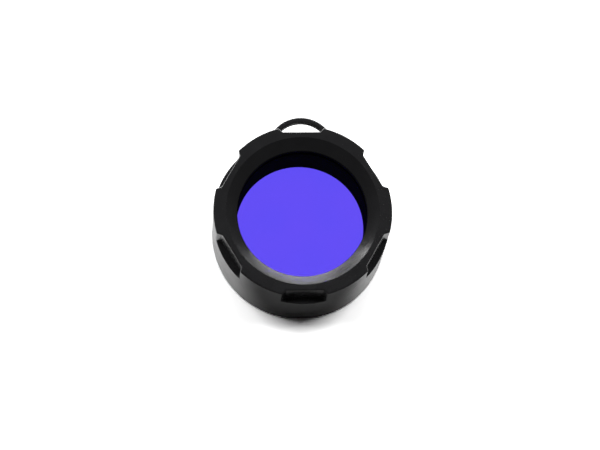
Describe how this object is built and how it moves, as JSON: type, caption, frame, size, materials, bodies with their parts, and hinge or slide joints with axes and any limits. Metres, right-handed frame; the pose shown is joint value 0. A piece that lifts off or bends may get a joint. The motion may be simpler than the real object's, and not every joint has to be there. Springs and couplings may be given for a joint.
{
  "type": "flashlight filter",
  "caption": "Push-on colour filter for a flashlight head: a notched rubber ring with a lanyard loop, holding a round pane of blue coated glass.",
  "frame": {"origin": "on the optical axis, in the plane of the shoulder that the flashlight's head seats against", "axes": "+Z along the optical axis, the way the light leaves; +Y towards the lanyard loop; the ring stands on its rear rim, 6.3 mm below the origin"},
  "size_m": [0.0462, 0.049, 0.0235],
  "materials": {
    "black_rubber": "moulded, fine matt grain",
    "blue_coated_glass": "polished, with a blue-pass coating"
  },
  "bodies": {
    "root": {"housing": "black_rubber", "filter_glass": "blue_coated_glass"}
  },
  "joints": []
}
